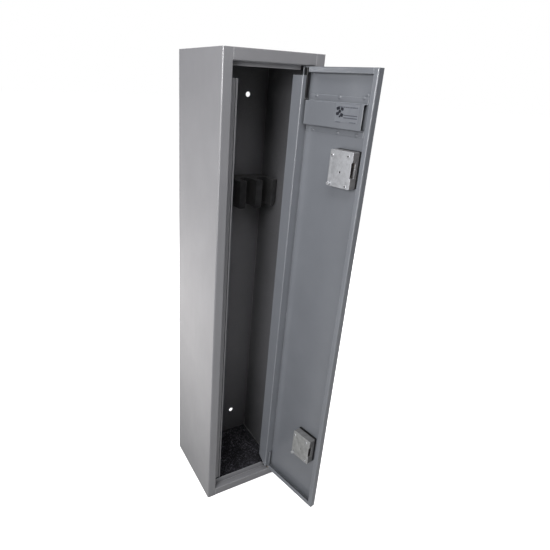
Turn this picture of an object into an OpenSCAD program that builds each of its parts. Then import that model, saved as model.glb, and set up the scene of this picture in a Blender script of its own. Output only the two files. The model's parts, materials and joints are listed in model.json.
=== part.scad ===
// Tall narrow steel gun cabinet with a full-height door, two seven-lever locks,
// a foam barrel rest and a carpeted base.
// Origin: centre of the underside of the base. Front faces -Y, +Z is up.
// Inside the modules the cabinet runs 0..cab_w in X, 0..cab_d in Y; the door
// parts are drawn in the closed position and swung open about the hinge pins.

/* [Cabinet] */
// Outside width
cab_w = 270; // [266:1:300]
// Outside depth
cab_d = 250; // [230:1:300]
// Outside height
cab_h = 1300; // [1280:5:1500]
// Steel sheet thickness
sheet = 2; // [1.5:0.1:2.5]
// Outside radius of the upright front corners
corner_r = 4; // [3:0.5:6]

/* [Front frame] */
// Width of the frame face around the door
frame_face = 26; // [24:1:30]
// Depth of the recess that the door closes into
frame_return = 20; // [20:0.5:24]
// Outside radius of the frame's inner edge
frame_edge_r = 3; // [2.6:0.1:3.5]
// Height of the bottom stop lip, above the frame opening
bottom_lip = 18; // [14:1:20]
// Height of the top stop lip, below the frame opening
top_lip = 9.5; // [7:0.5:12]
// Where both stop lips end, measured from the left side
lip_end_x = 216; // [205:1:216]

/* [Lock keep strip] */
// Bottom end of the keep strip
keep_z0 = 50; // [48:1:80]
// Top end of the keep strip
keep_z1 = 1239; // [1150:1:1240]
// Width of the keep strip, from the frame return to its nose
keep_w = 26; // [24:0.5:26]

/* [Door] */
// Angle that the door stands open at rest, 0 is shut
door_open = 101.5; // [0:0.5:108]
// Gap between door and frame on the lock side
door_gap = 2; // [1.5:0.5:3]
// Depth of the folded door tray
door_depth = 19.5; // [18:0.5:19.5]
// Width of the door's turned-in lips
door_lip = 11.5; // [9:0.5:13]
// Outside radius of the door's folds
door_r = 3; // [2.6:0.1:3.5]
// Depth of the fold along the hinge edge
hinge_fold = 15; // [11:1:16]

/* [Hinges] */
// Distance of the hinge pins from the right side
hinge_in_x = 40; // [39:0.5:40]
// Distance of the hinge pins behind the front face
hinge_in_y = 10; // [9.5:0.5:10.5]
// Hinge pin diameter
pin_d = 8; // [6:0.5:8]
// Running clearance on the hinge pin radius
pin_gap = 0.05; // [0.03:0.01:0.1]
// Outside diameter of the hinge tubes
tube_d = 11; // [10:0.5:11]

/* [Anti-pry bar] */
// Width of the hook flange
bar_flange = 33; // [26:1:33]
// Distance of the flange's inner face from the door's front face
bar_depth = 29; // [27:0.5:31]
// Bottom end of the bar
bar_z0 = 40; // [40:1:60]
// Top end of the bar
bar_z1 = 1253; // [1235:1:1255]

/* [Door stiffener] */
// Lower edge of the hat section
hat_z = 1144.5; // [1112:0.5:1150]
// Height of the hat section
hat_h = 55.5; // [40:0.5:60]
// Depth of the hat section from the door skin
hat_d = 15; // [8:0.5:16]
// Width of each weld flange
hat_flange = 14; // [10:0.5:16]
// Sheet thickness of the hat section
hat_sheet = 1.2; // [1:0.1:2]

/* [Locks] */
// Lock case width
lock_w = 63.5; // [62:0.5:66]
// Lock case height
lock_h = 83; // [81:0.5:88]
// Lock cover face, measured from the door's front face
lock_top = 31; // [31:0.5:33]
// Bottom of the upper lock
upper_lock_z = 1018; // [960:1:1025]
// Bottom of the lower lock
lower_lock_z = 190; // [160:1:260]
// Left side of the upper lock case
upper_lock_x = 52; // [52:0.5:54]
// Left side of the lower lock case
lower_lock_x = 56; // [52:0.5:56]
// Number of levers
levers = 7; // [5:1:7]

/* [Barrel rest] */
// Height of the underside of the foam
rest_z = 897; // [800:1:950]
// Height of the foam
rest_h = 79; // [50:1:90]
// Depth of the foam from the back panel
rest_d = 91; // [70:1:100]
// Width of each barrel slot
slot_w = 30; // [24:1:32]
// Depth of each barrel slot
slot_deep = 52; // [35:1:58]
// Distance between slot centres
slot_pitch = 52; // [50:0.5:52]

/* [Floor mat] */
// Thickness of the floor mat
mat_t = 6; // [3:0.5:10]

/* [Wall fixing] */
// Diameter of the four holes in the back
fix_d = 14; // [10:1:16]
// Distance between the holes, across
fix_dx = 140; // [100:5:180]
// Height of the lower pair of holes
fix_z0 = 95; // [70:1:150]
// Height of the upper pair of holes
fix_z1 = 1200; // [1100:1:1230]

/* [Hidden] */
$fn = 48;
e = 0.5;
paint = [0.50, 0.51, 0.53];
paint_in = [0.47, 0.48, 0.50];
zinc = [0.80, 0.81, 0.82];
steel = [0.62, 0.62, 0.64];
brass = [0.78, 0.62, 0.30];
t = sheet;
F = frame_face;
hx = cab_w - hinge_in_x;
hy = hinge_in_y;
// door tray, closed
dx0 = F + door_gap;
dx1 = cab_w - F - 3.5;
dz0 = F + 1.5;
dz1 = cab_h - F - 1.5;
// the stop lips start behind the recess
ly0 = frame_return;
ly1 = frame_return + t;
// lock layout, in the case's own u (across) and w (up)
hub_u = 31.5; hub_w = 35; pilot_r = 2.25;
post_u = 46; post_w = 67;
stump_u = 28; stump_w = 55;
bolt_w0 = 25.5; bolt_h = 34.5;
bolt_y0 = 22.25; bolt_t = 6.5; bolt_in = 3;
guide_u = 38.5;
throw = 16;
case_y0 = 5;
case_y1 = lock_top - 2;
lever_y0 = 9.2; lever_t = 1.4; lever_pitch = 12.6 / levers;
screw_at = [[12, 73], [57.5, 71], [11, 6]];
fixing_at = [57, 6];
web_x = hx - 4;

function arc(cx, cy, r, a0, a1, n = 5) =
    [for (i = [0:n]) [cx + r * cos(a0 + (a1 - a0) * i / n), cy + r * sin(a0 + (a1 - a0) * i / n)]];

module in_cabinet() translate([-cab_w / 2, -cab_d / 2, 0]) children();
module in_door(a = door_open)
    in_cabinet() translate([hx, hy, 0]) rotate([0, 0, a]) translate([-hx, -hy, 0]) children();

// prisms of a 2-D outline: along X (outline in Y,Z), along Y (outline in X,Z)
module along_x(x0, x1) translate([x0, 0, 0]) rotate([90, 0, 90]) linear_extrude(x1 - x0) children();
module along_y(y0, y1) translate([0, y1, 0]) rotate([90, 0, 0]) linear_extrude(y1 - y0) children();
module box(x0, x1, y0, y1, z0, z1) translate([x0, y0, z0]) cube([x1 - x0, y1 - y0, z1 - z0]);
// round bar along Y
module bar_y(x, z, r, y0, y1) translate([x, y1, z]) rotate([90, 0, 0]) cylinder(r = r, h = y1 - y0);

// ---------- cabinet shell ----------
// side sheet folded into the front stile and its return
module side_outline() polygon(concat(
    [[0, cab_d]],
    arc(corner_r, corner_r, corner_r, 180, 270, 6),
    arc(F - frame_edge_r, frame_edge_r, frame_edge_r, 270, 360),
    [[F, frame_return], [F - t, frame_return]],
    arc(F - frame_edge_r, frame_edge_r, frame_edge_r - t, 360, 270),
    arc(corner_r, corner_r, corner_r - t, 270, 180, 6),
    [[t, cab_d]]));
module side_outline_end() polygon(concat(
    [[0, cab_d]],
    arc(corner_r, corner_r, corner_r, 180, 270, 6),
    [[F, 0], [F, t]],
    arc(corner_r, corner_r, corner_r - t, 270, 180, 6),
    [[t, cab_d]]));
module side_panel() {
    translate([0, 0, F]) linear_extrude(cab_h - 2 * F) side_outline();
    linear_extrude(F) side_outline_end();
    translate([0, 0, cab_h - F]) linear_extrude(F) side_outline_end();
}
module left_side_panel() color(paint) in_cabinet() side_panel();
module right_side_panel() color(paint) in_cabinet() translate([cab_w, 0, 0]) mirror([1, 0, 0]) side_panel();

module back_panel() color(paint_in) in_cabinet() difference() {
    box(t, cab_w - t, cab_d - t, cab_d, 0, cab_h);
    for (sx = [-1, 1], z = [fix_z0, fix_z1])
        bar_y(cab_w / 2 + sx * fix_dx / 2, z, fix_d / 2, cab_d - t - e, cab_d + e);
}

// end panel folded into the front rail and its return, drawn for the base
module rail_outline() polygon(concat(
    [[cab_d - t, 0]],
    arc(t, t, t, 270, 180),
    arc(frame_edge_r, F - frame_edge_r, frame_edge_r, 180, 90),
    [[ly1, F], [ly1, F - t]],
    arc(frame_edge_r, F - frame_edge_r, frame_edge_r - t, 90, 180),
    [[t, t], [cab_d - t, t]]));
module end_panel(lip, step, hole_r) {
    difference() {
        union() {
            along_x(F, cab_w - F) rail_outline();
            box(t, cab_w - t, corner_r, cab_d - t, 0, t);
            box(corner_r, cab_w - corner_r, t, cab_d - t, 0, t);
            box(F - t, cab_w - F + t, t, frame_return, F - t, F);
            // stop lip, cut short of the hinge
            box(F - t, lip_end_x - step, ly0, ly1, F - t, F + lip);
            if (step > 0) box(lip_end_x - step - e, lip_end_x, ly0, ly1, F - t, F + lip - 6);
        }
        // room for the hinge corner of the door behind the return
        box(lip_end_x, cab_w - F + t, frame_return, ly1 + e, F - t - e, F + e);
        translate([hx, hy, F - t - e]) cylinder(r = hole_r, h = t + 2 * e);
    }
}
// the lower pin is fixed in the base, the upper pin turns in the top
module bottom_panel() color(paint) in_cabinet() end_panel(bottom_lip, 8, pin_d / 2);
module top_panel() color(paint) in_cabinet() translate([0, 0, cab_h]) mirror([0, 0, 1])
    end_panel(top_lip, 0, pin_d / 2 + pin_gap);

// folded strip behind the lock-side stile; both bolts shoot through its leg
module lock_keep_strip() color(paint) in_cabinet() {
    x0 = F - t; x1 = x0 + keep_w; y = frame_return;
    difference() {
        translate([0, 0, keep_z0]) linear_extrude(keep_z1 - keep_z0) polygon([
            [x0, y], [x1 - 6, y], [x1 - 6, y + 6], [x1 - 4.5, y + 6], [x1 - 4.5, y],
            [x1 - 4.1, y - 0.8], [x1 - 3.2, y - 1.3], [x1 - 1.6, y - 1.3], [x1 - 0.6, y - 0.9], [x1, y],
            [x1, y + 25], [x1 - 2.5, y + 25], [x1 - 2.5, y + 8], [x1 - 8, y + 8], [x1 - 8, y + 2], [x0, y + 2]]);
        for (z = [upper_lock_z, lower_lock_z])
            box(x1 - 10, x1 + e, y + 2, y + 9.3, z + bolt_w0 - 2.5, z + bolt_w0 + bolt_h + 2.5);
    }
}

// ---------- loose linings ----------
module barrel_rest() color([0.10, 0.10, 0.11]) in_cabinet() {
    y0 = cab_d - t - rest_d;
    x_r = cab_w - t;
    n = floor((cab_w - 2 * t - 19) / slot_pitch);
    difference() {
        box(t + 0.5, x_r - 0.5, y0, cab_d - t - 0.2, rest_z, rest_z + rest_h);
        for (i = [0:n - 0]) if (x_r - 19 - slot_w - i * slot_pitch > t + 3) {
            xc = x_r - 19 - slot_w / 2 - i * slot_pitch;
            box(xc - slot_w / 2, xc + slot_w / 2, y0 - e, y0 + slot_deep - slot_w / 2, rest_z - e, rest_z + rest_h + e);
            translate([xc, y0 + slot_deep - slot_w / 2, rest_z - e]) cylinder(d = slot_w, h = rest_h + 2 * e);
        }
    }
}
module floor_mat() color([0.12, 0.12, 0.13]) in_cabinet()
    box(t + 2, cab_w - t - 2, ly1 + 2, cab_d - t - 2, t, t + mat_t);

// ---------- hinges ----------
module lower_hinge_pin() color(steel) in_cabinet() translate([hx, hy, F - 14]) cylinder(r = pin_d / 2, h = 50);
module hinge_washer() color(brass) in_cabinet() difference() {
    translate([hx, hy, F]) cylinder(r = pin_d / 2 + 3, h = 1.5);
    translate([hx, hy, F - e]) cylinder(r = pin_d / 2 + pin_gap, h = 1.5 + 2 * e);
}
module hinge_tube(z0, z1) in_door() difference() {
    translate([hx, hy, z0]) cylinder(d = tube_d, h = z1 - z0);
    translate([hx, hy, z0 - e]) cylinder(r = pin_d / 2 + pin_gap, h = z1 - z0 + 2 * e);
}
module upper_hinge_tube() color(paint) hinge_tube(dz1 - 69.5, dz1 - t);
module lower_hinge_tube() color(paint) hinge_tube(dz0 + t, dz0 + 64.5);
// the upper pin drops through the tube and turns in the top rail
module upper_hinge_pin() color(steel) in_door() {
    translate([hx, hy, dz1 - 72.5]) cylinder(r = pin_d / 2, h = 84);
    translate([hx, hy, dz1 - 72.5]) cylinder(r = tube_d / 2, h = 3);
}

// ---------- door ----------
module keyhole(x, z, y0, y1) {
    bar_y(x, z, 4, y0, y1);
    box(x - 1.75, x + 1.75, y0, y1, z - 11, z);
}
// tray with four folded edges; the lips stop short of the hinge
module door_panel() color(paint) in_door() {
    r = door_r; ri = door_r - t; d = door_depth;
    difference() {
        intersection() {
            translate([0, 0, dz0]) linear_extrude(dz1 - dz0) polygon(concat(
                arc(dx0 + r, r, r, 180, 270), arc(dx1 - r, r, r, 270, 360),
                [[dx1, d]], arc(dx0 + r, d - r, r, 90, 180)));
            along_x(dx0, dx1) polygon(concat(
                arc(r, dz0 + r, r, 180, 270), arc(d - r, dz0 + r, r, 270, 360),
                arc(d - r, dz1 - r, r, 0, 90), arc(r, dz1 - r, r, 90, 180)));
        }
        intersection() {
            translate([0, 0, dz0 + t]) linear_extrude(dz1 - dz0 - 2 * t) polygon(concat(
                arc(dx0 + r, r, ri, 180, 270), arc(dx1 - r, r, ri, 270, 360),
                [[dx1 - t, d - t]], arc(dx0 + r, d - r, ri, 90, 180)));
            along_x(dx0 + t, dx1 - t) polygon(concat(
                arc(r, dz0 + r, ri, 180, 270), arc(d - r, dz0 + r, ri, 270, 360),
                arc(d - r, dz1 - r, ri, 0, 90), arc(r, dz1 - r, ri, 90, 180)));
        }
        // open back between the lips
        box(dx0 + door_lip, dx1 + e, d - t - 1, d + e, dz0 + door_lip + 2.5, dz1 - door_lip - 0.5);
        // no lips next to the hinge, and a shallower hinge fold
        box(hx - 11, dx1 + e, hinge_fold, d + e, dz0 - e, dz1 + e);
        // butt joints between the upright lip and the top and bottom lips
        for (z = [dz0, dz1]) box(dx0 + door_lip, dx0 + door_lip + 0.8, d - t - 0.2, d + e, z - 14, z + 14);
        // pin holes
        for (z = [dz0, dz1 - t]) translate([hx, hy, z - e]) cylinder(r = pin_d / 2 + pin_gap, h = t + 2 * e);
        // keyholes and rivet holes
        for (p = [[upper_lock_x, upper_lock_z], [lower_lock_x, lower_lock_z]]) {
            keyhole(p[0] + hub_u, p[1] + hub_w, -e, t + e);
            for (s = [11.5, -18.5]) bar_y(p[0] + hub_u, p[1] + hub_w + s, 1.6, -e, t + e);
        }
    }
}

// Z section that hooks behind the hinge-side return when the door shuts
module anti_pry_bar() color(paint) in_door() {
    x = web_x; y1 = bar_depth; xe = x + bar_flange;
    difference() {
        translate([0, 0, bar_z0]) linear_extrude(bar_z1 - bar_z0) polygon(concat(
            [[x, t]], [[x + t, t], [x + t, y1 - t - 0.5], [x + t + 0.5, y1 - t], [xe, y1 - t], [xe, y1]],
            arc(x + 2.5, y1 - 2.5, 2.5, 90, 180)));
        // slots round the hinge tubes
        box(x - e, x + t + e, t - e, 17.5, dz1 - 75, bar_z1 + e);
        box(x - e, x + t + e, t - e, 17.5, bar_z0 - e, dz0 + 67.5);
        // chamfered bottom corner of the hook
        along_y(y1 - t - 1, y1 + e) polygon([[x + 4, bar_z0 - e], [xe + e, bar_z0 - e], [xe + e, bar_z0 + bar_flange - 4 + e]]);
    }
}

// hat section, open at its lock-side end
module door_stiffener() color(paint) in_door() {
    x0 = dx0 + 26; x1 = web_x - 4; z0 = hat_z; z1 = hat_z + hat_h; y = t + hat_d;
    s = hat_sheet; f = t + s;
    along_x(x0, x1) polygon(concat(
        [[t, z0 - hat_flange], [f - 0.3, z0 - hat_flange], [f, z0 - hat_flange + 0.6], [f, z0]],
        arc(y - 2.5, z0 + 2.5, 2.5, 270, 360), arc(y - 2.5, z1 - 2.5, 2.5, 0, 90),
        [[f, z1], [f, z1 + hat_flange - 0.6], [f - 0.3, z1 + hat_flange], [t, z1 + hat_flange], [t, z1 - s], [y - 2.5, z1 - s]],
        arc(y - 2.5, z1 - 2.5, 2.5 - s, 90, 0, 3), arc(y - 2.5, z0 + 2.5, 2.5 - s, 360, 270, 3), [[t, z0 + s]]));
}
module door_label() color([0.78, 0.80, 0.82]) in_door()
    box(dx0 + 36.5, dx0 + 100.5, t + hat_d, t + hat_d + 0.3, hat_z + hat_h - 40, hat_z + hat_h - 2.5);

// ---------- locks ----------
module rounded_plate(w, h, r, y0, y1) along_y(y0, y1) polygon(concat(
    arc(w - r, r, r, 270, 360), arc(w - r, h - r, r, 0, 90), arc(r, h - r, r, 90, 180), arc(r, r, r, 180, 270)));
module at_lock(x, z) in_door() translate([x, 0, z]) children();

module lock_case() color(zinc) difference() {
    union() {
        difference() {
            rounded_plate(lock_w, lock_h, 2.5, case_y0, case_y1);
            box(3, lock_w - 3, case_y0 + 3, case_y1 + e, 3, lock_h - 3);
        }
        for (p = screw_at) bar_y(p[0], p[1], 3.2, case_y0 + 3, case_y1);
        bar_y(fixing_at[0], fixing_at[1], 4.2, case_y0 + 3, case_y1);
    }
    // bolt mouth
    box(-e, 3 + e, bolt_y0 - 4.25, case_y1 + e, bolt_w0 - 0.5, bolt_w0 + bolt_h + 0.5);
    bar_y(hub_u, hub_w, 6.05, case_y0 - e, case_y0 + 3 + e);
    for (p = screw_at) bar_y(p[0], p[1], 1.95, case_y1 - 10, case_y1 + e);
    bar_y(fixing_at[0], fixing_at[1], 2.6, case_y0 - e, case_y1 + e);
}
module lock_cover() color(zinc) {
    difference() {
        rounded_plate(lock_w, lock_h, 2.5, case_y1, lock_top);
        bar_y(hub_u, hub_w, pilot_r + 0.05, case_y1 - e, lock_top + e);
        for (p = screw_at) bar_y(p[0], p[1], 2.05, case_y1 - e, lock_top + e);
        bar_y(fixing_at[0], fixing_at[1], 2.6, case_y1 - e, lock_top + e);
    }
    // guide pin for the bolt tail
    bar_y(guide_u, 52, 2, bolt_y0 + 0.1, case_y1);
}
module drill_plate() color([0.16, 0.16, 0.17]) difference() {
    box(2, lock_w - 2, t, case_y0, 2, lock_h - 2);
    keyhole(hub_u, hub_w, t - e, case_y0 + e);
    for (s = [11.5, -18.5]) bar_y(hub_u, hub_w + s, 1.6, t - e, case_y0 + e);
    bar_y(fixing_at[0], fixing_at[1], 2.6, t - e, case_y0 + e);
}
module lever_post() color(steel) bar_y(post_u, post_w, 3, case_y0 + 3, case_y1);
// pan-head screws with a cross recess
module cover_screws() color(steel) for (p = screw_at) difference() {
    union() {
        bar_y(p[0], p[1], 1.95, case_y1 - 9.5, lock_top);
        bar_y(p[0], p[1], 4, lock_top, lock_top + 1.4);
        bar_y(p[0], p[1], 3.2, lock_top + 1.4, lock_top + 2.2);
    }
    for (a = [0, 90]) translate([p[0], 0, p[1]]) rotate([0, a + 20 + p[1], 0])
        translate([-2.6, lock_top + 0.5, -0.7]) cube([5.2, 2, 1.4]);
}
// long fixing screw that stands proud of the cover
module fixing_screw() color(zinc) difference() {
    union() {
        bar_y(fixing_at[0], fixing_at[1], 2.5, t, lock_top + 3);
        bar_y(fixing_at[0], fixing_at[1], 4.5, lock_top, lock_top + 1);
        bar_y(fixing_at[0], fixing_at[1], 4, lock_top + 3, lock_top + 7);
    }
    translate([fixing_at[0], 0, fixing_at[1]]) rotate([0, 35, 0]) translate([-5, lock_top + 5.5, -0.6]) cube([10, 2, 1.2]);
}
// head, tail plate with guide slot, and the stump that passes the levers
module lock_bolt() color(steel) {
    difference() {
        union() {
            box(bolt_in, 21, bolt_y0, bolt_y0 + bolt_t, bolt_w0, bolt_w0 + bolt_h);
            box(20, 59.5, bolt_y0, bolt_y0 + 3, 45.5, bolt_w0 + bolt_h + 1);
        }
        box(guide_u, guide_u + throw + 0.5, bolt_y0 - e, bolt_y0 + 4, 49.9, 54.1);
        for (u = [guide_u, guide_u + throw + 0.5]) bar_y(u, 52, 2.1, bolt_y0 - e, bolt_y0 + 4);
        // talon
        bar_y(hub_u, hub_w, 13, bolt_y0 - e, bolt_y0 + 4);
    }
    bar_y(stump_u, stump_w, 2.5, lever_y0 - 0.5, bolt_y0);
}
// the gate is a slot that the stump travels along as the lever lifts
module levers_pack() color(brass) for (i = [0:levers - 1]) {
    y = lever_y0 + i * lever_pitch;
    belly = 9 + 0.45 * ((i * 3) % 4);
    gx = stump_u - 14.7; gz = stump_w - 3.2;
    difference() {
        union() {
            along_y(y, y + lever_t) polygon([[9, 46], [20, 44.3], [43, 44.3], [51.5, 64], [50, 71], [44, 72],
                [24, 72], [18, 66], [9, 65]]);
            bar_y(post_u, post_w, 6.2, y, y + lever_t);
        }
        bar_y(post_u, post_w, 3.05, y - e, y + lever_t + e);
        bar_y(hub_u, hub_w, belly, y - e, y + lever_t + e);
        bar_y(stump_u, stump_w, 2.9, y - e, y + lever_t + e);
        bar_y(gx, gz, 2.9, y - e, y + lever_t + e);
        translate([(gx + stump_u) / 2, y + lever_t + e, (gz + stump_w) / 2])
            rotate([90, 0, 0]) rotate([0, 0, atan2(3.2, 14.7)])
            translate([-7.5, -2.9, 0]) cube([15, 5.8, lever_t + 2 * e]);
    }
}
// one leaf spring on the back of each lever
module springs_pack() color(steel) for (i = [0:levers - 1]) {
    y = lever_y0 + i * lever_pitch + 0.2;
    along_y(y, y + 1) polygon([[32, 72], [38, 72], [38, 72.5], [33, 72.5], [18.5, 75.9], [18.5, 75.5], [32, 72.4]]);
}
// barrel that the key turns, slotted for the key bit, with a pilot in the cover
module key_curtain() color(brass) difference() {
    union() {
        bar_y(hub_u, hub_w, 6, case_y0, case_y0 + 3.1);
        bar_y(hub_u, hub_w, 7.5, case_y0 + 3.1, 21.8);
        bar_y(hub_u, hub_w, pilot_r, 21.8, case_y1 + 0.6);
    }
    bar_y(hub_u, hub_w, 3.2, case_y0 - e, 20);
    box(hub_u - 1.6, hub_u + 1.6, case_y0 - e, 20, hub_w - 9, hub_w);
}
module escutcheon() color(zinc) difference() {
    union() {
        box(hub_u - 10, hub_u + 10, -1.5, 0, hub_w - 20, hub_w + 13);
        bar_y(hub_u, hub_w + 13, 10, -1.5, 0);
        bar_y(hub_u, hub_w - 20, 10, -1.5, 0);
    }
    keyhole(hub_u, hub_w, -2, e);
    for (s = [11.5, -18.5]) bar_y(hub_u, hub_w + s, 1.6, -2, e);
}
module escutcheon_rivets() color(steel)
    for (p = [[upper_lock_x, upper_lock_z], [lower_lock_x, lower_lock_z]]) at_lock(p[0], p[1])
        for (s = [11.5, -18.5]) {
            bar_y(hub_u, hub_w + s, 1.6, -1.5, case_y0 - 0.5);
            bar_y(hub_u, hub_w + s, 2.8, -2.2, -1.5);
            bar_y(hub_u, hub_w + s, 2.0, -2.7, -2.2);
        }

module upper_lock_case() at_lock(upper_lock_x, upper_lock_z) lock_case();
module upper_lock_cover() at_lock(upper_lock_x, upper_lock_z) lock_cover();
module upper_drill_plate() at_lock(upper_lock_x, upper_lock_z) drill_plate();
module upper_lever_post() at_lock(upper_lock_x, upper_lock_z) lever_post();
module upper_cover_screws() at_lock(upper_lock_x, upper_lock_z) cover_screws();
module upper_fixing_screw() at_lock(upper_lock_x, upper_lock_z) fixing_screw();
module upper_escutcheon() at_lock(upper_lock_x, upper_lock_z) escutcheon();
module upper_lock_bolt() at_lock(upper_lock_x, upper_lock_z) lock_bolt();
module upper_levers() at_lock(upper_lock_x, upper_lock_z) levers_pack();
module upper_lever_springs() at_lock(upper_lock_x, upper_lock_z) springs_pack();
module upper_key_curtain() at_lock(upper_lock_x, upper_lock_z) key_curtain();
module lower_lock_case() at_lock(lower_lock_x, lower_lock_z) lock_case();
module lower_lock_cover() at_lock(lower_lock_x, lower_lock_z) lock_cover();
module lower_drill_plate() at_lock(lower_lock_x, lower_lock_z) drill_plate();
module lower_lever_post() at_lock(lower_lock_x, lower_lock_z) lever_post();
module lower_cover_screws() at_lock(lower_lock_x, lower_lock_z) cover_screws();
module lower_fixing_screw() at_lock(lower_lock_x, lower_lock_z) fixing_screw();
module lower_escutcheon() at_lock(lower_lock_x, lower_lock_z) escutcheon();
module lower_lock_bolt() at_lock(lower_lock_x, lower_lock_z) lock_bolt();
module lower_levers() at_lock(lower_lock_x, lower_lock_z) levers_pack();
module lower_lever_springs() at_lock(lower_lock_x, lower_lock_z) springs_pack();
module lower_key_curtain() at_lock(lower_lock_x, lower_lock_z) key_curtain();

left_side_panel();
right_side_panel();
back_panel();
top_panel();
bottom_panel();
lock_keep_strip();
barrel_rest();
floor_mat();
lower_hinge_pin();
hinge_washer();
door_panel();
anti_pry_bar();
door_stiffener();
door_label();
upper_hinge_tube();
lower_hinge_tube();
upper_hinge_pin();
escutcheon_rivets();
upper_lock_case();
upper_lock_cover();
upper_drill_plate();
upper_lever_post();
upper_cover_screws();
upper_fixing_screw();
upper_escutcheon();
upper_lock_bolt();
upper_levers();
upper_lever_springs();
upper_key_curtain();
lower_lock_case();
lower_lock_cover();
lower_drill_plate();
lower_lever_post();
lower_cover_screws();
lower_fixing_screw();
lower_escutcheon();
lower_lock_bolt();
lower_levers();
lower_lever_springs();
lower_key_curtain();
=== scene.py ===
import json
import math
import bpy
import bmesh
from mathutils import Matrix, Vector, noise


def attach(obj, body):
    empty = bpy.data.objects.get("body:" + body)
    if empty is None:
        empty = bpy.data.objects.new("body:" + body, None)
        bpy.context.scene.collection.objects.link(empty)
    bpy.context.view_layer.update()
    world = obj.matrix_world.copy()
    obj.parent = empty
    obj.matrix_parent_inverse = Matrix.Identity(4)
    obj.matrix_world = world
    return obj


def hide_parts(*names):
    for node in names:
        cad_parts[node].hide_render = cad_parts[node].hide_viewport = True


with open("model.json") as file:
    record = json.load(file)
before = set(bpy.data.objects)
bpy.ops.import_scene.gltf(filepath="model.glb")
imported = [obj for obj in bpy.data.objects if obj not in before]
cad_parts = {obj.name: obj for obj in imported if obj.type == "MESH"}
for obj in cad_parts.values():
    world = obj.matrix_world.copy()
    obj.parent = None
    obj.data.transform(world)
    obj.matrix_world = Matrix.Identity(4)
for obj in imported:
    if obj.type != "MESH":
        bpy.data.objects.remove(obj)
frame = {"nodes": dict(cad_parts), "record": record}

scene = bpy.context.scene
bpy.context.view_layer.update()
nodes = frame["nodes"]

# ---------------------------------------------------------------- geometry of the row, in metres
W, D, H = 0.270, 0.250, 1.300
OPEN = math.radians(101.5)
HX, HY = 0.095, -0.115


def cab(x, y, z):
    """millimetres from the cabinet's left front foot to the row frame"""
    return Vector((x / 1000 - W / 2, y / 1000 - D / 2, z / 1000))


DOOR = Matrix.Translation((HX, HY, 0)) @ Matrix.Rotation(OPEN, 4, "Z") @ Matrix.Translation((-HX, -HY, 0))


def door(x, y, z):
    """millimetres on the closed door to the row frame with the door open"""
    return DOOR @ cab(x, y, z)


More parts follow.
